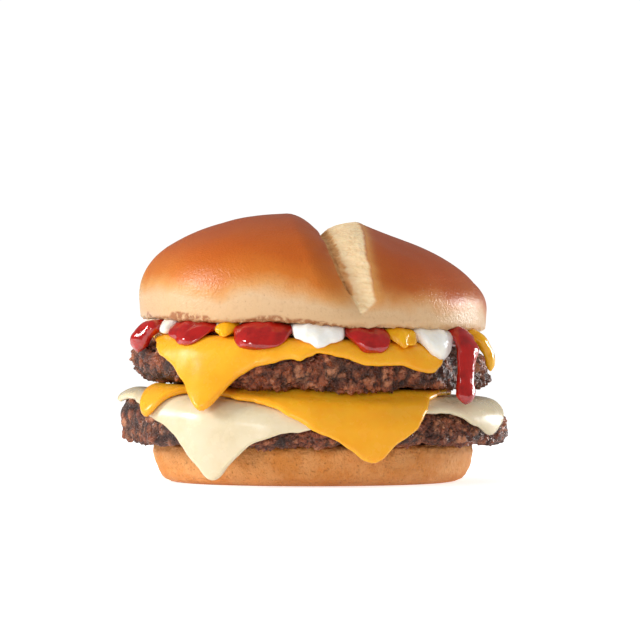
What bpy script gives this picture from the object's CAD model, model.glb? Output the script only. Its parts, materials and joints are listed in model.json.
# %% [markdown]
# # A double cheeseburger with a split-top crown
# This lesson builds a burger the way a cook stacks it: heel, patty, two slices, patty, slice, sauces and
# crown. Food looks real when three things are right: soft uneven shapes, surfaces with detail at the right
# scale, and light that passes a little way into the food. Each step below makes one layer.
#
# Lengths are in millimetres while a piece is being shaped, and a last step turns them into metres.

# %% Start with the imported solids
import json
import math

import bmesh
import bpy
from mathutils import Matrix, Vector, noise

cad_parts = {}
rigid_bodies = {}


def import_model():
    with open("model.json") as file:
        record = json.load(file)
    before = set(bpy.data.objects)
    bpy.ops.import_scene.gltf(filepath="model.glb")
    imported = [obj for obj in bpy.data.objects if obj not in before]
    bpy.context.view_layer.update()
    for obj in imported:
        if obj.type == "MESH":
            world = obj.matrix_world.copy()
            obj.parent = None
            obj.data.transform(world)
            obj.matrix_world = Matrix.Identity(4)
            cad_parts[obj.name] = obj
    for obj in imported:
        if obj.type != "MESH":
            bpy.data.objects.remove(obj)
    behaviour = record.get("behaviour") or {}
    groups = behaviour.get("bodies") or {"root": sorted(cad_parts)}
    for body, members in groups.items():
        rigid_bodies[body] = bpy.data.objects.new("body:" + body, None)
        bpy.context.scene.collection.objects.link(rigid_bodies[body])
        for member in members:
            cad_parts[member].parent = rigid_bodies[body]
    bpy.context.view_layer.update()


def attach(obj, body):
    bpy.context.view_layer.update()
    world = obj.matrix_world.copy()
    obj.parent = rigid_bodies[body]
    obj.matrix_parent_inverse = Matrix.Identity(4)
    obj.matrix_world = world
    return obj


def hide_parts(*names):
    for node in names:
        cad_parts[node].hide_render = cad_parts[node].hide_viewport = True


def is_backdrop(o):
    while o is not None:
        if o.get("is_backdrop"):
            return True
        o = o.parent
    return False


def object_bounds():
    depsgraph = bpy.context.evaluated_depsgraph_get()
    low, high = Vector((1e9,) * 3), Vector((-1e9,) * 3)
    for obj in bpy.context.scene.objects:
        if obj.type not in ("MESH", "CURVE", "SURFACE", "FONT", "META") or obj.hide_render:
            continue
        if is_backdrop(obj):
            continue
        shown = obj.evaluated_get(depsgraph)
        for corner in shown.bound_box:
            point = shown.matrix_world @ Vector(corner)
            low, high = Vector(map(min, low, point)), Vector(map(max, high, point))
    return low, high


for leftover in list(bpy.data.objects):
    bpy.data.objects.remove(leftover)
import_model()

# %% [markdown]
# ## The camera
# A burger is photographed from its own height, so that every layer shows as a band. A long lens from far
# away keeps the bands straight. The camera is level with the crown's lower edge, because that edge then
# shows as a line and not as an ellipse. The lens follows from the width that the picture takes in.

# %% Camera
MM = 0.001
CAMERA_DISTANCE = 1.2
PICTURE_WIDTH = 0.178
CAMERA_AIM = Vector((0.0019, 0, 0.0448))

camera = bpy.data.objects.new("camera", bpy.data.cameras.new("camera"))
camera.location = CAMERA_AIM - Vector((0, CAMERA_DISTANCE, 0))
camera.rotation_euler = (math.radians(90), 0, 0)
camera.data.sensor_width = 36
camera.data.lens = 36 * CAMERA_DISTANCE / PICTURE_WIDTH
bpy.context.scene.collection.objects.link(camera)
bpy.context.scene.camera = camera
print("lens:", round(camera.data.lens), "mm")

# %% [markdown]
# ## Where things are round the stack
# A stack of round food is easiest to describe with an azimuth, a radius and a height. Azimuth 0 is the
# front and it grows towards +X. Every layer is first made level. At the end `settle` bends the whole
# stack: whatever overhangs the heel droops a little, the upper layers sag at the front and rise at the
# left, and the stack leans to one side. One bend for all the layers keeps them from cutting through
# each other.

# %% Helpers for places
GAP = 0.3
HEEL_HEIGHT = 11.0
PATTY_THICKNESS = 11.0
SLICE_THICKNESS = 1.8
SAUCE_THICKNESS = 3.2
CROWN_HEIGHT = 30.8

LOWER_PATTY_BASE = HEEL_HEIGHT + GAP
LOWER_PATTY_TOP = LOWER_PATTY_BASE + PATTY_THICKNESS
WHITE_LIFT = GAP
YELLOW_LIFT = WHITE_LIFT + SLICE_THICKNESS + GAP
UPPER_PATTY_BASE = LOWER_PATTY_TOP + YELLOW_LIFT + SLICE_THICKNESS + GAP
UPPER_PATTY_TOP = UPPER_PATTY_BASE + PATTY_THICKNESS
UPPER_LIFT = GAP
CROWN_BASE = UPPER_PATTY_TOP + UPPER_LIFT + SLICE_THICKNESS + GAP + SAUCE_THICKNESS + GAP

DROOP = 1.5
DROOP_START = 44.4
DROOP_SPAN = 13.0
LEAN = 0.037
SAGS = ((12.0, 62.0, 2.5), (-90.0, 60.0, -1.6))
SAG_FULL = 13.0
SAG_FADE = 9.0
SEAT_RADIUS = 43.5
UPPER_RADIUS = 49.3


def smooth_step(t):
    t = min(1.0, max(0.0, t))
    return t * t * (3 - 2 * t)


def place(azimuth, radius, height):
    return Vector((radius * math.sin(azimuth), -radius * math.cos(azimuth), height))


def round_place(point):
    return math.atan2(point.x, -point.y), math.hypot(point.x, point.y)


def angle_between(azimuth, degrees):
    return abs((math.degrees(azimuth) - degrees + 180) % 360 - 180)


def settle(point):
    azimuth, radius = round_place(point)
    droop = DROOP * smooth_step((radius - DROOP_START) / DROOP_SPAN)
    between_breads = smooth_step((point.z - HEEL_HEIGHT) / SAG_FULL)
    between_breads *= smooth_step((UPPER_PATTY_TOP - point.z) / SAG_FADE)
    overhang = smooth_step((radius - SEAT_RADIUS) / (UPPER_RADIUS - SEAT_RADIUS))
    for middle, half_width, sag in SAGS:
        droop += sag * overhang * between_breads * (1 - smooth_step(angle_between(azimuth, middle) / half_width))
    lean = LEAN * (min(max(point.z, 0.0), CROWN_BASE) / CROWN_BASE) ** 1.5
    return Vector((point.x, point.y, point.z - droop - lean * point.x))


print("crown's lower edge at", round(CROWN_BASE, 1), "mm")

# %% [markdown]
# ## Helpers for shapes
# Round food starts as a profile turned about the axis: bmesh's `spin` with `use_merge` makes a closed
# ring of it. Each piece is then pushed about by noise, because baked and ground food is never smooth.
# `keep` finishes a piece: it settles it, turns it into metres, makes the faces point outwards, stores what
# the materials need to know as attributes, and tells the frame which solid the piece stands for.

# %% Helpers for shapes


def spun(profile, steps):
    bm = bmesh.new()
    points = [bm.verts.new(place(0.0, radius, height)) for radius, height in profile]
    for first, second in zip(points, points[1:]):
        bm.edges.new((first, second))
    outline = list(bm.verts) + list(bm.edges)
    bmesh.ops.spin(bm, geom=outline, axis=(0, 0, 1), angle=math.tau, steps=steps, use_merge=True)
    bmesh.ops.remove_doubles(bm, verts=bm.verts, dist=0.001)
    face_outward(bm)
    return bm


def face_outward(bm):
    bmesh.ops.recalc_face_normals(bm, faces=bm.faces)
    if bm.calc_volume(signed=True) < 0:
        bmesh.ops.reverse_faces(bm, faces=bm.faces)
    bm.normal_update()


def arc(middle, radius, start, end, steps):
    angles = [math.radians(start + (end - start) * i / steps) for i in range(steps + 1)]
    return [(middle[0] + radius * math.cos(a), middle[1] + radius * math.sin(a)) for a in angles]


def between(start, end, steps):
    """Points from start to end, without the last one."""
    return [tuple(a + (b - a) * i / steps for a, b in zip(start, end)) for i in range(steps)]


def keep(bm, name, finish, masks=None, solid=None):
    """Makes the object from a bmesh that is level and in millimetres. masks: attribute name -> {vertex: value}."""
    for vertex in bm.verts:
        vertex.co = settle(vertex.co)
    face_outward(bm)
    bmesh.ops.scale(bm, verts=bm.verts, vec=(MM, MM, MM))
    bm.verts.index_update()
    values = {mask: [found[vertex] for vertex in bm.verts] for mask, found in (masks or {}).items()}
    mesh = bpy.data.meshes.new(name)
    bm.to_mesh(mesh)
    bm.free()
    for mask, numbers in values.items():
        mesh.attributes.new(mask, "FLOAT", "POINT").data.foreach_set("value", numbers)
    mesh.shade_smooth()
    mesh.materials.append(finish)
    piece = bpy.data.objects.new(name, mesh)
    bpy.context.scene.collection.objects.link(piece)
    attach(piece, "root")
    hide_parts(solid or name.removeprefix("baked_"))
    print(name, len(mesh.polygons), "faces")
    return piece


# %% [markdown]
# ## Helpers for finishes
# A finish is a Principled shader with nodes in front of it. `wired` adds one node and links or sets its
# inputs, which keeps the graphs readable as code. All patterns read Object coordinates in millimetres, so a
# noise scale of 0.5 means features about 2 mm wide.

# %% Helpers for finishes


def wired(tree, kind, inputs=None, **settings):
    made = tree.nodes.new(kind)
    for name, value in settings.items():
        setattr(made, name, value)
    for name, value in (inputs or {}).items():
        if isinstance(value, bpy.types.NodeSocket):
            tree.links.new(value, made.inputs[name])
        else:
            made.inputs[name].default_value = value
    return made


def calculated(tree, operation, *values):
    return wired(tree, "ShaderNodeMath", dict(enumerate(values)), operation=operation).outputs[0]


def ramped(tree, value, *stops):
    """A colour ramp with stops of (position, colour)."""
    made = wired(tree, "ShaderNodeValToRGB", {"Fac": value})
    elements = made.color_ramp.elements
    while len(elements) < len(stops):
        elements.new(0.5)
    for element, (position, colour) in zip(elements, stops):
        element.position = position
        element.color = colour
    return made.outputs["Color"]


def mixed(tree, share, first, second, blend="MIX"):
    made = wired(tree, "ShaderNodeMix", data_type="RGBA", blend_type=blend)
    for socket, value in ((0, share), (6, first), (7, second)):
        if isinstance(value, bpy.types.NodeSocket):
            tree.links.new(value, made.inputs[socket])
        else:
            made.inputs[socket].default_value = value
    return made.outputs[2]


def ranged(tree, value, low, high, to_low=0.0, to_high=1.0):
    inputs = {"Value": value, "From Min": low, "From Max": high, "To Min": to_low, "To Max": to_high}
    return wired(tree, "ShaderNodeMapRange", inputs, interpolation_type="SMOOTHSTEP").outputs["Result"]


def bumped(tree, height, distance, strength=1.0, normal=None):
    inputs = {"Height": height, "Distance": distance * MM, "Strength": strength}
    if normal:
        inputs["Normal"] = normal
    return wired(tree, "ShaderNodeBump", inputs).outputs["Normal"]


def colour(red, green, blue):
    """A colour as screens show it, 0 to 255, made linear for the shader."""
    channels = [value / 255 for value in (red, green, blue)]
    linear = [c / 12.92 if c <= 0.04045 else ((c + 0.055) / 1.055) ** 2.4 for c in channels]
    return (*linear, 1.0)


def new_finish(name, roughness, specular=0.5):
    finish = bpy.data.materials.new(name)
    finish.use_nodes = True
    tree = finish.node_tree
    shader = tree.nodes["Principled BSDF"]
    shader.inputs["Roughness"].default_value = roughness
    shader.inputs["Specular IOR Level"].default_value = specular
    spot = wired(tree, "ShaderNodeTexCoord").outputs["Object"]
    scaled = wired(tree, "ShaderNodeVectorMath", {0: spot, "Scale": 1000.0}, operation="SCALE")
    return finish, tree, shader, scaled.outputs[0]


def lit_within(shader, weight, radius, scale):
    shader.inputs["Subsurface Weight"].default_value = weight
    shader.inputs["Subsurface Radius"].default_value = radius
    shader.inputs["Subsurface Scale"].default_value = scale * MM


# %% [markdown]
# ## Shared effects
# Two effects come back in nearly every food finish. `mottling` blends a colour into another in soft
# patches, as browning and fat do. `grain` gives a height made of noise at two scales, for bump. Both are
# node groups, so each finish sets its own scale and strength.

# %% Mottling group


def new_group(name, inputs, outputs):
    group = bpy.data.node_groups.new(name, "ShaderNodeTree")
    for socket, kind in inputs.items():
        group.interface.new_socket(socket, in_out="INPUT", socket_type=kind)
    for socket, kind in outputs.items():
        group.interface.new_socket(socket, in_out="OUTPUT", socket_type=kind)
    return group, group.nodes.new("NodeGroupInput").outputs, group.nodes.new("NodeGroupOutput").inputs


V, F, C = "NodeSocketVector", "NodeSocketFloat", "NodeSocketColor"
mottling, given, result = new_group(
    "mottling",
    {"Vector": V, "Scale": F, "Low": F, "High": F, "Base": C, "Patch": C},
    {"Color": C, "Mask": F},
)
patches = wired(
    mottling,
    "ShaderNodeTexNoise",
    {"Vector": given["Vector"], "Scale": given["Scale"], "Detail": 5.0, "Roughness": 0.6},
).outputs["Fac"]
patch_mask = ranged(mottling, patches, given["Low"], given["High"])
mottling.links.new(mixed(mottling, patch_mask, given["Base"], given["Patch"]), result["Color"])
mottling.links.new(patch_mask, result["Mask"])

# %% Grain group
grain, given, result = new_group("grain", {"Vector": V, "Scale": F, "Fineness": F}, {"Height": F})
coarse = wired(
    grain, "ShaderNodeTexNoise", {"Vector": given["Vector"], "Scale": given["Scale"], "Detail": 4.0}
).outputs["Fac"]
fine_scale = calculated(grain, "MULTIPLY", given["Scale"], given["Fineness"])
fine = wired(grain, "ShaderNodeTexNoise", {"Vector": given["Vector"], "Scale": fine_scale, "Detail": 3.0})
both = calculated(grain, "MULTIPLY_ADD", fine.outputs["Fac"], 0.4, coarse)
grain.links.new(both, result["Height"])


def grouped(tree, group, output, **inputs):
    made = tree.nodes.new("ShaderNodeGroup")
    made.node_tree = group
    for name, value in inputs.items():
        if isinstance(value, bpy.types.NodeSocket):
            tree.links.new(value, made.inputs[name])
        else:
            made.inputs[name].default_value = value
    return made.outputs[output]


# %% [markdown]
# ## Bread: the heel
# The heel is the bottom of the bun. It is narrow at the foot, because that baked on the tray, and widest
# just under the cut. A turned profile gives the form. Noise at three scales makes it uneven: long waves
# from rising, wrinkles where the patty presses, and a rough torn lip at the cut.

# %% Heel shape
HEEL_STEPS = 420


def bread_waves(point, size, depth):
    return depth * noise.noise(point / size)


def heel_relief(point):
    """How far out of the smooth surface the heel stands there, in millimetres."""
    squashed = Vector((point.x, point.y, point.z * 1.8))
    wrinkles = bread_waves(squashed, 4.5, 0.28) + bread_waves(squashed, 1.6, 0.10)
    lip = smooth_step((point.z - HEEL_HEIGHT + 2.2) / 2.0)
    torn = lip * (bread_waves(point, 1.3, 0.55) + bread_waves(point, 0.55, 0.30))
    return bread_waves(point, 16.0, 0.5) + wrinkles + torn


side = [(38.0, 0.0), (39.6, 0.25), (41.2, 0.9), (42.3, 2.0), (43.0, 3.2), (43.9, 5.8), (44.4, 8.6)]
heel_profile = [(0, 0), (20, 0), (34, 0)]
for start, end in zip(side, side[1:]):
    heel_profile += between(start, end, 6)
heel_profile += between((44.4, 8.6), (44.1, 10.2), 4)
heel_profile += between((44.1, 10.2), (43.2, 11.0), 4)
heel_profile += [(43.2, 11.0), (40, 11.0), (30, 11.0), (15, 11.0), (0, 11.0)]
heel = spun(heel_profile, HEEL_STEPS)
for vertex in heel.verts:
    azimuth, radius = round_place(vertex.co)
    shown = smooth_step((radius - 38.0) / 3.0)
    out = place(azimuth, 1.0, 0.0)
    vertex.co += out * heel_relief(vertex.co) * shown * min(1.0, vertex.co.z / 2.0 + 0.15)

# %% [markdown]
# ## Bread crust finish for the heel
# The heel's side is matt and golden, paler where the crust is thin and browner near the tray. It is the
# mottling group twice, one patch size over another, with a fine grain for the crumb under the crust.

# %% Heel finish
heel_crust, tree, shader, spot = new_finish("heel_crust", 0.62, 0.35)
base = grouped(tree, mottling, "Color", Vector=spot, Scale=0.10, Low=0.40, High=0.62,
               Base=colour(244, 172, 102), Patch=colour(234, 151, 70))
spots = grouped(tree, mottling, "Mask", Vector=spot, Scale=0.55, Low=0.52, High=0.78)
base = mixed(tree, calculated(tree, "MULTIPLY", spots, 0.30), base, colour(196, 110, 50))
height = wired(tree, "ShaderNodeSeparateXYZ", {0: spot}).outputs["Z"]
base = mixed(tree, ranged(tree, height, 3.5, 0.0, 0.0, 0.35), base, colour(188, 120, 68))
base = mixed(tree, ranged(tree, height, 9.6, 11.2, 0.0, 0.55), base, colour(160, 88, 40))
holes = grouped(tree, mottling, "Mask", Vector=spot, Scale=1.5, Low=0.58, High=0.70)
base = mixed(tree, calculated(tree, "MULTIPLY", holes, 0.28), base, colour(170, 96, 48))
tree.links.new(base, shader.inputs["Base Color"])
pores = grouped(tree, grain, "Height", Vector=spot, Scale=1.1, Fineness=3.0)
pores = calculated(tree, "MULTIPLY_ADD", holes, -0.35, pores)
tree.links.new(bumped(tree, pores, 0.7), shader.inputs["Normal"])
lit_within(shader, 0.15, (1.0, 0.55, 0.3), 1.2)
keep(heel, "baked_heel", heel_crust)

# %% [markdown]
# ## Beef: the patties
# A cooked patty is a slab of ground meat: round crumbs of meat a millimetre or two across, packed in
# clumps, with dark cracks between. Voronoi noise makes such crumbs, since the distance to the nearest of
# scattered points is a field of little domes with creases between them. Two sizes of dome, with the place
# warped by plain noise first so that they don't look like beads, give the broken edge. The height is
# kept as an attribute, and the finish uses it to darken the cracks and to shine the tops.

# %% Patty shape
PATTY_EDGE = 4.0
LOWER_RADIUS, LOWER_WAVES = 53.0, ((1, 0.005, 1.6), (2, 0.008, 3.0), (3, 0.007, 2.0), (5, 0.004, 0.4))
UPPER_WAVES = ((1, 0.014, 1.6), (2, 0.008, 2.9), (3, 0.006, 0.5), (5, 0.004, 1.4))
PATTY_STEPS = 940


def outline_of(radius, waves):
    return lambda azimuth: radius * (1 + sum(s * math.cos(n * azimuth + p) for n, s, p in waves))


lower_outline = outline_of(LOWER_RADIUS, LOWER_WAVES)
upper_outline = outline_of(UPPER_RADIUS, UPPER_WAVES)


def domes(point, size):
    """0 in the creases to 1 on the middle of each dome."""
    distances, _ = noise.voronoi(point / size)
    return min(1.0, (distances[1] - distances[0]) * 1.7)


def beef_relief(point, seed):
    """(millimetres out of the smooth surface, 0 in the cracks to 1 on the tops)"""
    here = point + Vector((seed, seed, seed))
    warp = noise.noise_vector(here / 3.2) * 1.3 + noise.noise_vector(here / 1.1) * 0.35
    crumbly = smooth_step(0.55 + 1.4 * noise.noise(here / 9.0))
    clumps = domes(here + warp, 4.6)
    crumbs = domes(here + warp * 0.7, 2.0)
    granules = domes(here + warp * 0.4, 1.1)
    height = 0.75 * clumps + (0.15 + 0.60 * crumbly) * crumbs + (0.12 + 0.45 * crumbly) * granules
    waves = 1.2 * noise.noise(here / 13.0) + 0.8 * noise.noise(here / 5.5)
    return height + waves - 1.0, min(1.0, max(0.0, height / 1.5))


def patty(base, radius, outline, seed):
    top, inner = base + PATTY_THICKNESS, radius - PATTY_EDGE
    profile = [(0, base), (20, base), (36, base)] + between((40, base), (inner, base), 12)
    profile += arc((inner, base + PATTY_EDGE), PATTY_EDGE, -90, 0, 18)[:-1]
    profile += between((radius, base + PATTY_EDGE), (radius, top - PATTY_EDGE), 9)
    profile += arc((inner, top - PATTY_EDGE), PATTY_EDGE, 0, 90, 18)
    profile += between((inner - 0.6, top), (inner - 4, top), 6) + [(inner - 6, top), (38, top), (20, top), (0, top)]
    bm = spun(profile, PATTY_STEPS)
    tops = {}
    moved = {}
    for vertex in bm.verts:
        azimuth, at = round_place(vertex.co)
        shown = smooth_step((at - 37.0) / 5.0)
        relief, tops[vertex] = beef_relief(vertex.co, seed) if shown else (0.0, 1.0)
        rim = place(azimuth, outline(azimuth) - radius, 0.0) if at > 40 else Vector()
        moved[vertex] = vertex.co + rim + vertex.normal * relief * shown
    for vertex, here in moved.items():
        vertex.co = here
    return bm, tops


# %% [markdown]
# ## Beef finish
# Cooked beef is brown, but not one brown: grey-pink where it steamed, near black where it seared, with
# pale spots of fat. Each crumb gets a tone of its own from a Voronoi pattern, and the crack attribute
# darkens the creases. The juices make it shine in points, so the roughness varies too.

# %% Beef finish
beef, tree, shader, spot = new_finish("beef", 0.4, 0.6)
warmth = grouped(tree, mottling, "Color", Vector=spot, Scale=0.14, Low=0.38, High=0.62,
                 Base=colour(192, 112, 78), Patch=colour(150, 72, 42))
wandering = wired(tree, "ShaderNodeTexNoise", {"Vector": spot, "Scale": 0.9, "Detail": 3.0}).outputs["Color"]
moved_spot = wired(tree, "ShaderNodeVectorMath", {0: wandering, 1: (0.5, 0.5, 0.5)}, operation="SUBTRACT").outputs[0]
crumb_spot = wired(tree, "ShaderNodeVectorMath", {0: moved_spot, 1: (1.8, 1.8, 1.8), 2: spot},
                   operation="MULTIPLY_ADD").outputs[0]
crumbs = wired(tree, "ShaderNodeTexVoronoi", {"Vector": crumb_spot, "Scale": 0.5}).outputs
tone = wired(tree, "ShaderNodeSeparateColor", {0: crumbs["Color"]}).outputs["Red"]
crumb_tone = ramped(tree, tone, (0.0, colour(76, 32, 14)), (0.35, colour(136, 68, 38)), (0.7, colour(184, 108, 70)),
                    (1.0, colour(230, 164, 122)))
meat = mixed(tree, 0.55, warmth, crumb_tone)
seared = grouped(tree, mottling, "Mask", Vector=spot, Scale=0.16, Low=0.46, High=0.60)
meat = mixed(tree, calculated(tree, "MULTIPLY", seared, 0.80), meat, colour(60, 23, 10))
fat = grouped(tree, mottling, "Mask", Vector=spot, Scale=1.3, Low=0.62, High=0.72)
meat = mixed(tree, calculated(tree, "MULTIPLY", fat, 0.45), meat, colour(230, 178, 142))
between_crumbs = ranged(tree, crumbs["Distance"], 0.5, 0.85, 1.0, 0.45)
tops = wired(tree, "ShaderNodeAttribute", attribute_name="tops").outputs["Fac"]
shade = calculated(tree, "MULTIPLY", ranged(tree, tops, 0.05, 0.55, 0.12, 1.0), between_crumbs)
meat = mixed(tree, shade, colour(34, 12, 6), meat)
tree.links.new(meat, shader.inputs["Base Color"])
wet = grouped(tree, mottling, "Mask", Vector=spot, Scale=0.7, Low=0.40, High=0.60)
tree.links.new(ranged(tree, wet, 0.0, 1.0, 0.50, 0.16), shader.inputs["Roughness"])
fibres = grouped(tree, grain, "Height", Vector=spot, Scale=1.3, Fineness=2.4)
rounded_crumbs = calculated(tree, "MULTIPLY_ADD", crumbs["Distance"], -0.9, fibres)
tree.links.new(bumped(tree, rounded_crumbs, 0.8), shader.inputs["Normal"])
lit_within(shader, 0.05, (1.0, 0.35, 0.2), 0.6)
for name, base_height, radius, outline, seed in (
    ("lower_patty", LOWER_PATTY_BASE, LOWER_RADIUS, lower_outline, 11.0),
    ("upper_patty", UPPER_PATTY_BASE, UPPER_RADIUS, upper_outline, 47.0),
):
    shape, crests = patty(base_height, radius, outline, seed)
    keep(shape, "baked_" + name, beef, {"tops": crests})

# %% [markdown]
# ## Cheese
# A slice of cheese is a thin square sheet. Laid on a hot patty it stays flat where the meat carries it,
# bends round the edge, and hangs. So it is made flat first: a round sheet is cut along the slice's edges
# with `bisect_plane`, extruded to its thickness, and given a bulging rim. Then `over_patty` bends the
# space it lies in: past the patty's edge, distance along the sheet becomes distance down the side. A
# drip is a corner that has stretched as it melted.

# %% Slice shape
SLICE_CORNER = 5.0
SLICE_STEPS = 384
RIM_ROWS = 4
LOWER_FALL = 88.0
UPPER_FALL, UPPER_FALL_CORNER = 80.0, 60.0
UPPER_CORNER_AZIMUTH, UPPER_CORNER_HALF_WIDTH = -31.0, 28.0
WHITE = {
    "edges": ((-120, 50.0), (-104, 49.8), (-71, 51.7), (11, 53.3), (29, 49.6), (98, 47.6), (192, 38.0)),
    "drip": (-31, 14, 0.1),
}
YELLOW = {
    "edges": ((-100, 38.5), (-72, 44.5), (-42, 47.2), (-24, 49.8), (66, 43.2), (78, 39.0), (95, 36.5), (112, 37.5),
              (155, 41.0)),
    "drip": (17, 12, 0.0),
    "tongue": (-54, 15, 0.16),
}
UPPER = {
    "edges": ((-80, 45.0), (-46, 57.5), (5, 49.0), (22, 49.5), (94, 31.8), (184, 35.0)),
    "drip": (-31, 10, 0.48),
}


def lower_fall(azimuth):
    return LOWER_FALL


def upper_fall(azimuth):
    corner = 1 - smooth_step(angle_between(azimuth, UPPER_CORNER_AZIMUTH) / UPPER_CORNER_HALF_WIDTH)
    return UPPER_FALL + (UPPER_FALL_CORNER - UPPER_FALL) * corner


def over_patty(azimuth, along, lift, outline, top, fall):
    level = outline(azimuth) - PATTY_EDGE
    past = along - level
    if past <= 0:
        return place(azimuth, along, top + lift)
    turn = min(past / PATTY_EDGE, math.radians(fall))
    straight = max(0.0, past - PATTY_EDGE * math.radians(fall))
    reach = (PATTY_EDGE + lift) * math.sin(turn) + straight * math.cos(turn)
    height = top - PATTY_EDGE + (PATTY_EDGE + lift) * math.cos(turn) - straight * math.sin(turn)
    return place(azimuth, level + reach, height)


def cuts_of(edges):
    """The slice's edges, and between each two of them the cuts that round their corner."""
    cuts = []
    for (azimuth, distance), (other_azimuth, other_distance) in zip(edges, edges[1:] + edges[:1]):
        out, other = place(math.radians(azimuth), 1, 0), place(math.radians(other_azimuth), 1, 0)
        first, second = distance - SLICE_CORNER, other_distance - SLICE_CORNER
        spread = out.x * other.y - out.y * other.x
        middle_x = (first * other.y - second * out.y) / spread
        middle_y = (second * out.x - first * other.x) / spread
        turn = (other_azimuth - azimuth) % 360
        parts = max(1, round(turn / 9))
        for i in range(parts):
            faces = place(math.radians(azimuth + turn * i / parts), 1, 0)
            cuts.append((faces, middle_x * faces.x + middle_y * faces.y + SLICE_CORNER))
    return cuts


def cheese_slice(shape, lift, outline, top, fall, seed):
    rows = [(i, 0.0) for i in (0, 10, 20, 30, 36, 40)] + [(41 + 0.75 * i, 0.0) for i in range(44)]
    bm = spun(rows, SLICE_STEPS)
    for faces, distance in cuts_of(shape["edges"]):
        everything = list(bm.verts) + list(bm.edges) + list(bm.faces)
        bmesh.ops.bisect_plane(bm, geom=everything, dist=0.08, plane_co=faces * distance, plane_no=faces,
                               clear_outer=True)
    bmesh.ops.remove_doubles(bm, verts=bm.verts, dist=0.12)
    for face in bm.faces:
        face.normal_update()
        if face.normal.z < 0:
            face.normal_flip()
    made = bmesh.ops.extrude_face_region(bm, geom=list(bm.faces), use_keep_orig=True)
    raised = [part for part in made["geom"] if isinstance(part, bmesh.types.BMVert)]
    bmesh.ops.translate(bm, verts=raised, vec=(0, 0, SLICE_THICKNESS))
    uprights = [edge for edge in bm.edges if abs(edge.verts[0].co.z - edge.verts[1].co.z) > 1]
    bmesh.ops.subdivide_edges(bm, edges=uprights, cuts=RIM_ROWS, use_grid_fill=True)
    face_outward(bm)
    bulged = {}
    for vertex in bm.verts:
        share = vertex.co.z / SLICE_THICKNESS * 2 - 1
        if abs(share) < 0.99:
            bulged[vertex] = vertex.co + vertex.normal * 0.55 * math.sqrt(1 - share * share)
    for vertex, here in bulged.items():
        vertex.co = here
    drip_azimuth, drip_half_width, longer = shape["drip"]
    tongue_azimuth, tongue_half_width, tongue = shape.get("tongue", (0, 1, 0.0))
    for vertex in bm.verts:
        azimuth, along = round_place(vertex.co)
        level = outline(azimuth) - PATTY_EDGE
        drip = 1 - smooth_step(angle_between(azimuth, drip_azimuth) / drip_half_width)
        hang = max(0.0, along - level)
        along += hang * longer * drip
        along += tongue * along * smooth_step((along - 30) / 10) * (
            1 - smooth_step(angle_between(azimuth, tongue_azimuth) / tongue_half_width))
        hang = max(hang, along - level)
        melted = smooth_step(hang / 2.5)
        along += melted * (0.9 * noise.noise(place(azimuth, 8.0, seed)) + 0.25 * noise.noise(place(azimuth, 22.0, seed)))
        here = Vector((vertex.co.x, vertex.co.y, seed))
        soft = smooth_step(hang / 5.0)
        wave = soft * (0.6 * noise.noise(here / 11.0) + 0.05 * noise.noise(here / 5.0))
        melt = 1 + 0.25 * soft * drip
        vertex.co = over_patty(azimuth, along, lift + vertex.co.z * melt + wave + soft * 0.35, outline, top, fall(azimuth))
    return bm


# %% [markdown]
# ## Cheese finish
# Melted cheese is smooth, a little glossy, and light goes some millimetres into it, which makes thin
# edges glow. So its colour is nearly plain, and subsurface light does the work. Sparse darker patches
# and a very low bump keep it from looking like plastic.

# %% Cheese finishes


def cheese_finish(name, main, patch, inner):
    finish, tree, shader, spot = new_finish(name, 0.3, 0.38)
    base = grouped(tree, mottling, "Color", Vector=spot, Scale=0.09, Low=0.42, High=0.70, Base=main, Patch=patch)
    tree.links.new(base, shader.inputs["Base Color"])
    sheen = grouped(tree, mottling, "Mask", Vector=spot, Scale=0.2, Low=0.3, High=0.7)
    tree.links.new(ranged(tree, sheen, 0.0, 1.0, 0.22, 0.30), shader.inputs["Roughness"])
    skin = grouped(tree, grain, "Height", Vector=spot, Scale=0.14, Fineness=2.0)
    tree.links.new(bumped(tree, skin, 0.08), shader.inputs["Normal"])
    lit_within(shader, 0.45, inner, 2.4)
    return finish


yellow_cheese = cheese_finish("yellow_cheese", colour(255, 179, 38), colour(252, 167, 28), (1.0, 0.5, 0.08))
white_cheese = cheese_finish("white_cheese", colour(230, 215, 183), colour(223, 205, 167), (1.0, 0.8, 0.5))
for name, shape, lift, outline, top, fall, finish, slot in (
    ("white_slice", WHITE, WHITE_LIFT, lower_outline, LOWER_PATTY_TOP, lower_fall, white_cheese, "white_cheese"),
    ("yellow_slice", YELLOW, YELLOW_LIFT, lower_outline, LOWER_PATTY_TOP, lower_fall, yellow_cheese, "yellow_cheese"),
    ("upper_slice", UPPER, UPPER_LIFT, upper_outline, UPPER_PATTY_TOP, upper_fall, yellow_cheese, "yellow_cheese"),
):
    keep(cheese_slice(shape, lift, outline, top, fall, len(name) * 7.0), "melted_" + name, finish, solid=name)

# %% [markdown]
# ## Sauces
# Sauce between two flat things is squeezed out at the rim, where it bulges and sags. A dollop here is a
# sphere whose points are mapped into the space between the upper slice and the crown: across becomes
# azimuth, out becomes radius, and up becomes a share of the height that is free at that radius. It can't cut
# through its neighbours that way. The mayonnaise is a whole layer with lobes, turned and mapped the same way.

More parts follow.
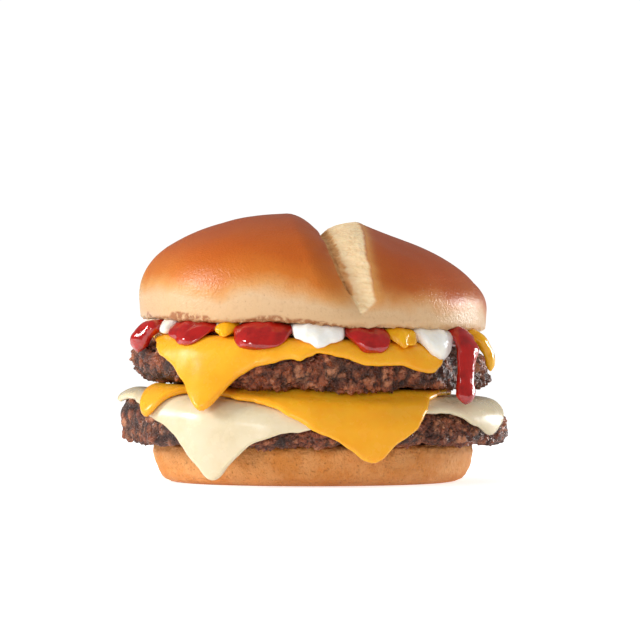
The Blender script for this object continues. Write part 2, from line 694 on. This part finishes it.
# %% Room for the sauces
SAUCE_EDGE, SAUCE_RECESS = 47.2, 44.5
CROWN_BASE_RADIUS, CROWN_RADIUS = 46.0, 48.1
MAYONNAISE_LOBES = ((-57.0, 6.0, 2.4), (1.0, 15.0, 3.4), (43.0, 11.0, 5.0))
KETCHUP_DOLLOPS = {
    "ketchup_left": (-44.5, 11.0, 34.0, 51.4, 0.9),
    "ketchup_front_left": (-17.0, 11.0, 34.0, 52.2, 1.4),
    "ketchup_front_right": (18.5, 8.6, 34.0, 51.6, 1.2),
    "ketchup_back_right": (128.0, 11.0, 34.0, 49.8, 0.5),
    "ketchup_back": (-164.0, 11.0, 34.0, 49.8, 0.5),
}
MUSTARD_DOLLOPS = {
    "mustard_left": (-30.0, 4.6, 34.0, 49.4, 0.0),
    "mustard_front_right": (31.0, 6.6, 34.0, 49.8, 0.3),
    "mustard_back": (176.0, 7.0, 34.0, 49.2, 0.3),
    "mustard_back_left": (-122.0, 8.0, 34.0, 49.2, 0.3),
}
KETCHUP_RUNS = {
    "ketchup_run_left": (
        ((-62, 41.0, 42.6), (-63, 46.0, 42.4), (-64, 49.6, 41.4), (-66, 51.6, 38.6), (-67, 52.0, 35.2)),
        (3.0, 4.6, 7.6, 8.2, 3.4),
    ),
    "ketchup_run_right": (
        ((57, 41.0, 42.4), (57, 47.6, 42.0), (54, 51.8, 39.0), (50.5, 53.4, 32.4), (49, 54.6, 24.8)),
        (6.0, 8.6, 8.4, 6.2, 7.4),
    ),
}
MUSTARD_RUNS = {
    "mustard_run_right": (
        ((67, 41.0, 42.4), (68, 46.0, 42.4), (69, 49.4, 41.0), (71, 51.0, 37.2), (71, 51.4, 33.0)),
        (4.0, 5.6, 6.0, 5.0, 2.6),
    ),
}
RUN_FLATNESS = 0.62


def slice_top(azimuth, radius):
    """The height of the upper slice's top at a place, and of its bend past the patty's edge."""
    bend = PATTY_EDGE + UPPER_LIFT + SLICE_THICKNESS
    past = min(max(0.0, radius - upper_outline(azimuth) + PATTY_EDGE), 0.88 * bend)
    return UPPER_PATTY_TOP - PATTY_EDGE + math.sqrt(bend**2 - past**2)


def squeezed(azimuth, radius, share, hang=0.0):
    low = slice_top(azimuth, radius) - hang * smooth_step((radius - 46.0) / 4.0)
    high = CROWN_BASE + 0.4 - 1.6 * smooth_step((radius - 45.0) / 6.5)
    return place(azimuth, radius, (low + high) / 2 + share * (high - low) / 2)


def swelling(point, seed, depth):
    here = point + Vector((seed, -seed, seed))
    return depth * (noise.noise(here / 4.2) + 0.4 * noise.noise(here / 1.8))


def fuller(first, second, power=2.8):
    """Moves a place in a circle towards the square round it, which fills the shape out."""
    length = math.hypot(first, second)
    if length < 1e-6:
        return first, second
    size = (abs(first / length) ** power + abs(second / length) ** power) ** (1 / power)
    return first / size, second / size


# %% Dollops, layer and runs


def dollop(azimuth, half_width, inner, outer, hang, seed):
    bm = bmesh.new()
    bmesh.ops.create_uvsphere(bm, u_segments=72, v_segments=44, radius=1.0)
    middle, reach = (inner + outer) / 2, (outer - inner) / 2
    for vertex in bm.verts:
        across, out, up = vertex.co
        out, up = fuller(out, up, 2.4)
        ragged = 1 + 0.16 * noise.noise(Vector((up * 1.6, out * 2.0, seed)))
        turn = math.radians(azimuth + half_width * across * ragged)
        rim = 1.3 * noise.noise(Vector((across * 1.8 + seed, seed, up * 1.2)))
        vertex.co = squeezed(turn, middle + reach * out + rim * max(0.0, out), up, hang)
    face_outward(bm)
    return bm


def swell(bm, seed, depth):
    moved = {vertex: vertex.co + vertex.normal * swelling(vertex.co, seed, depth) for vertex in bm.verts}
    for vertex, here in moved.items():
        vertex.co = here
    return bm


def sauce_recess(azimuth):
    others = list(KETCHUP_DOLLOPS.values()) + list(MUSTARD_DOLLOPS.values())
    spans = [(shape[0], shape[1] - 2.0) for shape in others]
    return max(smooth_step(1 - (angle_between(azimuth, middle) - wide) / 2.5) for middle, wide in spans)


def mayonnaise_layer():
    profile = between((0, -1), (0.6, -1), 3) + between((0.6, -1), (0.86, -1), 7)
    for i in range(25):
        turn = math.pi * i / 24
        out, up = fuller(math.sin(turn), -math.cos(turn), 2.6)
        profile.append((0.86 + 0.14 * out, up))
    profile += [(0.78, 1), (0.7, 1), (0.6, 1), (0.3, 1), (0, 1)]
    bm = spun(profile, 560)
    for vertex in bm.verts:
        azimuth, share_out = round_place(vertex.co)
        lobes = [(angle_between(azimuth, middle) / wide, out) for middle, wide, out in MAYONNAISE_LOBES]
        edge = SAUCE_EDGE + sum(out * (1 - smooth_step(off)) for off, out in lobes)
        edge += 1.5 * noise.noise(place(azimuth, 9.0, 3.0)) + 0.5 * noise.noise(place(azimuth, 22.0, 5.0))
        reach = edge + (SAUCE_RECESS - edge) * sauce_recess(azimuth)
        lump = 1 - smooth_step(angle_between(azimuth, 44.0) / 8.0)
        vertex.co = squeezed(azimuth, reach * share_out, vertex.co.z, 2.2 * lump)
    face_outward(bm)
    return bm


def run_down(points, thickness):
    line = [place(math.radians(azimuth), radius, height) for azimuth, radius, height in points]
    bm = bmesh.new()
    bmesh.ops.create_uvsphere(bm, u_segments=40, v_segments=72, radius=1.0)
    last = len(line) - 1
    for vertex in bm.verts:
        across, out, up = vertex.co
        along = last * math.acos(min(1.0, max(-1.0, up))) / math.pi
        start = min(int(along), last - 1)
        share = along - start
        before, after = line[max(start - 1, 0)], line[min(start + 2, last)]
        here, there = line[start], line[start + 1]
        slope_in, slope_out = (there - before) / 2, (after - here) / 2
        s2, s3 = share * share, share**3
        middle = here * (2 * s3 - 3 * s2 + 1) + slope_in * (s3 - 2 * s2 + share)
        middle += there * (3 * s2 - 2 * s3) + slope_out * (s3 - s2)
        heading = slope_in.lerp(slope_out, share)
        sideways = Vector((-middle.y, middle.x, 0)).normalized()
        outward = sideways.cross(heading).normalized()
        first, second = thickness[start], thickness[start + 1]
        thick = first + (second - first) * smooth_step(share)
        tip = math.sqrt(max(0.0, 1 - abs(up) ** 26))
        turn = math.atan2(out, across)
        wide = thick / 2 * tip
        vertex.co = middle + wide * (sideways * math.cos(turn) + RUN_FLATNESS * outward * math.sin(turn))
    bmesh.ops.remove_doubles(bm, verts=bm.verts, dist=0.001)
    face_outward(bm)
    return bm


# %% [markdown]
# ## Sauce finishes
# Sauces are wet: a low roughness gives sharp highlights. Ketchup is a deep red with tomato pulp in it,
# mustard is an opaque yellow, and mayonnaise is nearly white and lets light in the deepest.

# %% Sauce finishes


def sauce_finish(name, main, patch, roughness, specular, inner, depth, pulp):
    finish, tree, shader, spot = new_finish(name, roughness, specular)
    base = grouped(tree, mottling, "Color", Vector=spot, Scale=0.35, Low=0.4, High=0.7, Base=main, Patch=patch)
    tree.links.new(base, shader.inputs["Base Color"])
    surface = grouped(tree, grain, "Height", Vector=spot, Scale=0.5, Fineness=4.0)
    tree.links.new(bumped(tree, surface, pulp), shader.inputs["Normal"])
    lit_within(shader, 0.35, inner, depth)
    return finish


ketchup = sauce_finish("ketchup", colour(182, 20, 14), colour(154, 13, 9), 0.09, 1.0, (1.0, 0.12, 0.05), 1.0, 0.06)
mustard = sauce_finish("mustard", colour(250, 184, 22), colour(238, 164, 16), 0.18, 0.5, (1.0, 0.6, 0.1), 1.2, 0.2)
mayonnaise = sauce_finish("mayonnaise", colour(255, 252, 244), colour(252, 245, 230), 0.2, 0.5, (1.0, 0.9, 0.75), 2.4, 0.15)
keep(swell(mayonnaise_layer(), 3.0, 0.5), "squeezed_mayonnaise", mayonnaise, solid="mayonnaise")
for finish, slot, dollops, runs in (
    (ketchup, "ketchup", KETCHUP_DOLLOPS, KETCHUP_RUNS),
    (mustard, "mustard", MUSTARD_DOLLOPS, MUSTARD_RUNS),
):
    for number, (name, shape) in enumerate(dollops.items()):
        keep(swell(dollop(*shape, number * 5.0), number * 9.0, 0.45), "squeezed_" + name, finish, solid=name)
    for number, (name, (points, thickness)) in enumerate(runs.items()):
        keep(swell(run_down(points, thickness), number * 13.0, 0.5), "squeezed_" + name, finish, solid=name)

# %% [markdown]
# ## Bread: the crown
# A split-top bun is slashed along its middle before baking. The dough opens there, so the skin on one side
# ends in a rounded shoulder, and beside it a band of pale torn crumb rises to the skin of the other side.
# The dome is a turned profile. The faces near the split are subdivided, so that the torn crumb gets detail
# of its own. Then each point is sunk towards the middle of the bun by the depth of the split there.

# %% Crown shape
CROWN_BELLY_HEIGHT = 5.6
CROWN_FULLNESS = 0.94
CROWN_LOPSIDED = 3.0
SPLIT_X, SPLIT_LEAN, SPLIT_TURN, SPLIT_FOOT = 0.5, 0.44, 12.0, 1.8
SPLIT_FOOT_WIDTH, SPLIT_WIDENING = 6.3, 0.275
SPLIT_DEPTH, SPLIT_FLOOR = 5.2, 0.3
SHOULDER_WIDTH, SHOULDER_DEPTH = 7.5, 4.2
CROWN_STEPS = 300
DOME_ROWS = 72
HEART = Vector((0, 0, CROWN_BASE + CROWN_BELLY_HEIGHT))


def crown_profile():
    edge = CROWN_RADIUS - CROWN_BASE_RADIUS
    rise = CROWN_HEIGHT - CROWN_BELLY_HEIGHT
    profile = [(0, CROWN_BASE), (20, CROWN_BASE), (36, CROWN_BASE)]
    profile += between((40, CROWN_BASE), (CROWN_BASE_RADIUS, CROWN_BASE), 12)
    profile += arc((CROWN_BASE_RADIUS, CROWN_BASE + edge), edge, -90, 0, 10)[:-1]
    profile += between((CROWN_RADIUS, CROWN_BASE + edge), (CROWN_RADIUS, HEART.z), 7)
    for i in range(DOME_ROWS + 1):
        turn = math.radians(90 * i / DOME_ROWS)
        profile.append((CROWN_RADIUS * math.cos(turn), HEART.z + rise * math.sin(turn) ** CROWN_FULLNESS))
    profile[-1] = (0, profile[-1][1])
    return profile


def split_place(point):
    """(distance to the right of the split's left edge, width of the crumb there, how open the split is)"""
    ahead = min(1.0, max(-1.0, -point.y / SPLIT_TURN))
    below = CROWN_BASE + CROWN_HEIGHT - point.z
    side = point.x - SPLIT_X - SPLIT_LEAN * below * ahead
    here = Vector((0, point.y, point.z))
    side += 0.35 * noise.noise(here / 6.0) + 0.12 * noise.noise(here / 1.2)
    above = point.z - CROWN_BASE - SPLIT_FOOT
    width = (SPLIT_FOOT_WIDTH + SPLIT_WIDENING * (above - 6.0)) * smooth_step(above / 6.0)
    width += 0.5 * noise.noise(here / 4.0) + 0.2 * noise.noise(here / 1.5)
    return side, max(0.0, width), smooth_step(above / 10.0)


def split_depth(point):
    """(how deep the split is there, 0 on skin to 1 on crumb)"""
    side, width, opened = split_place(point)
    if side <= 0:
        return opened * SHOULDER_DEPTH * max(0.0, 1 + side / SHOULDER_WIDTH) ** 1.6, 0.0
    if width < 0.3 or side > width + 0.6:
        return 0.0, 0.0
    here = Vector((0, point.y, point.z))
    across = min(1.0, side / width)
    ledge = SPLIT_FLOOR + 0.10 * noise.noise(here / 2.6) + 0.05 * noise.noise(here / 0.9)
    wall = smooth_step(side / 0.5)
    floor = SPLIT_DEPTH * (1.0 + 0.22 * math.sin(math.pi * min(1.0, across / ledge)))
    slope = SPLIT_DEPTH * (0.90 * max(0.0, (1 - across) / (1 - SPLIT_FLOOR)) ** 1.25 - 0.02)
    onto = smooth_step((across - ledge) * width / 0.55)
    depth = floor + (slope - floor) * onto
    crumb = smooth_step(side / 0.3) * smooth_step((width - side) / 1.2 + 0.2)
    return opened * ((1 - wall) * SHOULDER_DEPTH + wall * depth), crumb * smooth_step(opened * 9)


def torn(point):
    """Torn bread: fine pores with a few soft folds that run across the tear."""
    folds = noise.noise(Vector((point.x / 3.0, point.y / 2.2, point.z / 1.1)))
    return 0.20 * folds + 0.10 * noise.noise(point / 0.9) + 0.12 * (domes(point, 1.2) - 0.5)


crown = spun(crown_profile(), CROWN_STEPS)
near_split = set()
for face in crown.faces:
    middle = face.calc_center_median()
    side, width, opened = split_place(middle)
    if opened > 0 and -1.5 < side < width + 1.0:
        near_split.update(face.edges)
bmesh.ops.subdivide_edges(crown, edges=list(near_split), cuts=3, use_grid_fill=True)
crumb_mask, crumb_height, stretched, moved = {}, {}, {}, {}
for vertex in crown.verts:
    point = vertex.co.copy()
    depth, crumb = split_depth(point)
    rough = torn(point) if crumb > 0 else 0.0
    share = max(0.0, point.z - HEART.z) / CROWN_HEIGHT
    shown = smooth_step((point.xy.length - 34) / 8 + share * 6)
    rim = smooth_step(1 - abs(point.z - CROWN_BASE - 0.2) / 1.5) * smooth_step((point.xy.length - 43) / 2)
    ragged = rim * (0.2 + bread_waves(point, 1.3, 0.7) + bread_waves(point, 0.6, 0.4))
    swell_out = bread_waves(point, 22.0, 0.9) + bread_waves(point, 8.0, 0.10) + bread_waves(point, 2.2, 0.035)
    inward = (HEART - point).normalized()
    there = point + inward * (depth - crumb * rough) + vertex.normal * swell_out * shown
    there += place(round_place(point)[0], ragged, -0.5 * abs(ragged))
    there.z -= CROWN_LOPSIDED * smooth_step(point.x / 26.0) * min(1.0, 3.0 * share)
    moved[vertex], crumb_mask[vertex] = there, crumb
    low = smooth_step((depth - 3.6) / 2.0) if crumb > 0 else 0.0
    crumb_height[vertex] = min(1.0, max(0.0, 0.66 + 0.9 * rough - 0.42 * low)) if crumb > 0 else 0.6
    side, width, opened = split_place(point)
    stretched[vertex] = opened * math.exp(-(((side - width) / 1.7) ** 2)) if side > width else opened * crumb
for vertex, there in moved.items():
    vertex.co = there

# %% [markdown]
# ## Crown finish
# An egg-washed bun is brown and shiny on top and pale at its side, where it touched its neighbours or the
# heat came last. The colour follows the height above the rim, with noise to make the border soft and
# uneven. The crumb attribute switches to a pale matt finish inside the split, darker in its holes.

# %% Crown finish
crown_crust, tree, shader, spot = new_finish("crown_crust", 0.4, 0.42)
xyz = wired(tree, "ShaderNodeSeparateXYZ", {0: spot}).outputs
above = calculated(tree, "SUBTRACT", calculated(tree, "MULTIPLY_ADD", xyz["X"], LEAN, xyz["Z"]), CROWN_BASE)
drift = wired(tree, "ShaderNodeTexNoise", {"Vector": spot, "Scale": 0.055, "Detail": 3.0}).outputs["Fac"]
above = calculated(tree, "ADD", above, ranged(tree, drift, 0.25, 0.75, -2.5, 2.5))
above = calculated(tree, "ADD", above, ranged(tree, xyz["X"], 12.0, 42.0, 0.0, 3.0))
bake = ranged(tree, above, 0.0, 32.0)
bake.node.interpolation_type = "LINEAR"
skin = ramped(
    tree,
    bake,
    (0.00, colour(217, 177, 130)),
    (0.17, colour(219, 181, 136)),
    (0.27, colour(218, 152, 84)),
    (0.38, colour(208, 116, 36)),
    (0.60, colour(197, 95, 20)),
    (0.95, colour(184, 79, 14)),
)
deeper = ranged(tree, xyz["X"], 4.0, 26.0, 0.0, 0.5)
skin = mixed(tree, calculated(tree, "MULTIPLY", deeper, ranged(tree, above, 5.0, 14.0)), skin, colour(170, 58, 4))
freckles = grouped(tree, mottling, "Mask", Vector=spot, Scale=0.8, Low=0.50, High=0.80)
skin = mixed(tree, calculated(tree, "MULTIPLY", freckles, 0.22), skin, colour(150, 70, 24))
pits = grouped(tree, mottling, "Mask", Vector=spot, Scale=1.6, Low=0.64, High=0.72)
skin = mixed(tree, calculated(tree, "MULTIPLY", pits, 0.30), skin, colour(140, 80, 40))
near_tear = wired(tree, "ShaderNodeAttribute", attribute_name="stretched").outputs["Fac"]
skin = mixed(tree, calculated(tree, "MULTIPLY", near_tear, 0.75), skin, colour(234, 168, 92))
toast = grouped(tree, mottling, "Mask", Vector=spot, Scale=0.7, Low=0.35, High=0.55)
edge_mask = calculated(tree, "MULTIPLY", toast, ranged(tree, above, 0.6, -0.3))
skin = mixed(tree, calculated(tree, "MULTIPLY", edge_mask, 0.85), skin, colour(158, 88, 38))
crumb_share = wired(tree, "ShaderNodeAttribute", attribute_name="crumb").outputs["Fac"]
hollow = wired(tree, "ShaderNodeAttribute", attribute_name="crumb_height").outputs["Fac"]
crumb_colour = ramped(tree, hollow, (0.0, colour(184, 118, 62)), (0.3, colour(222, 172, 114)),
                      (0.6, colour(240, 208, 160)), (0.95, colour(248, 226, 188)))
tree.links.new(mixed(tree, crumb_share, skin, crumb_colour), shader.inputs["Base Color"])
tree.links.new(ranged(tree, crumb_share, 0.0, 1.0, 0.31, 0.85), shader.inputs["Roughness"])
dimples = grouped(tree, grain, "Height", Vector=spot, Scale=1.5, Fineness=2.5)
tree.links.new(bumped(tree, dimples, 0.15), shader.inputs["Normal"])
lit_within(shader, 0.12, (1.0, 0.5, 0.25), 1.5)
masks = {"crumb": crumb_mask, "crumb_height": crumb_height, "stretched": stretched}
keep(crown, "baked_crown", crown_crust, masks)

# %% [markdown]
# ## Studio
# A white sweep with nothing else in it, lit as food is: one soft light from the left, low enough to skim
# the layers and bring out their relief, and a second behind on the right for the rim. A third, small and
# weak, stands in front and only puts glints on what is wet. A bright surround fills the shadows, but it is
# dim for reflections, because a white room mirrored in a glossy crust would bleach its colour.

# %% Floor, lights and world
floor_mesh = bmesh.new()
bmesh.ops.create_grid(floor_mesh, x_segments=1, y_segments=1, size=6.0)
mesh = bpy.data.meshes.new("floor")
floor_mesh.to_mesh(mesh)
floor_mesh.free()
floor_white, tree, shader, spot = new_finish("floor_white", 0.6, 0.2)
shader.inputs["Base Color"].default_value = (0.92, 0.92, 0.92, 1.0)
shader.inputs["Emission Color"].default_value = (1, 1, 1, 1)
seen = wired(tree, "ShaderNodeLightPath").outputs["Is Camera Ray"]
tree.links.new(ranged(tree, seen, 0.0, 1.0, 0.28, 0.6), shader.inputs["Emission Strength"])
mesh.materials.append(floor_white)
floor = bpy.data.objects.new("floor", mesh)
bpy.context.scene.collection.objects.link(floor)
floor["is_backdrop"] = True


def soft_light(name, place_at, aim, width, height, watts, tint=(1, 1, 1)):
    lamp = bpy.data.lights.new(name, "AREA")
    lamp.shape, lamp.size, lamp.size_y, lamp.energy, lamp.color = "RECTANGLE", width, height, watts, tint
    stand = bpy.data.objects.new(name, lamp)
    stand.location = place_at
    stand.rotation_euler = (Vector(aim) - Vector(place_at)).to_track_quat("-Z", "Y").to_euler()
    bpy.context.scene.collection.objects.link(stand)


soft_light("key_left", (-0.79, -0.10, 0.37), (0, 0, 0.04), 0.24, 0.24, 5.0)
soft_light("glints_front", (-0.46, -0.94, 0.26), (0, 0, 0.04), 0.14, 0.14, 1.9)
soft_light("rim_right", (0.68, 0.44, 0.18), (0, 0, 0.05), 0.24, 0.24, 3.6)

scene = bpy.context.scene
scene.view_settings.view_transform = "Standard"
scene.world = bpy.data.worlds.new("surround")
scene.world.use_nodes = True
tree = scene.world.node_tree
backdrop = tree.nodes["Background"]
backdrop.inputs["Color"].default_value = (1, 1, 1, 1)
rays = wired(tree, "ShaderNodeLightPath").outputs
fill = ranged(tree, rays["Is Glossy Ray"], 0.0, 1.0, 0.55, 0.20)
brighter = calculated(tree, "MULTIPLY", rays["Is Camera Ray"], 1.05)
tree.links.new(calculated(tree, "MAXIMUM", fill, brighter), backdrop.inputs["Strength"])

# %% [markdown]
# ## Measure and hand over
# The finished look has to fit the solids that stand in for it in simulation, so both boxes are written
# down side by side.

# %% Sizes and finish
low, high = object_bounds()
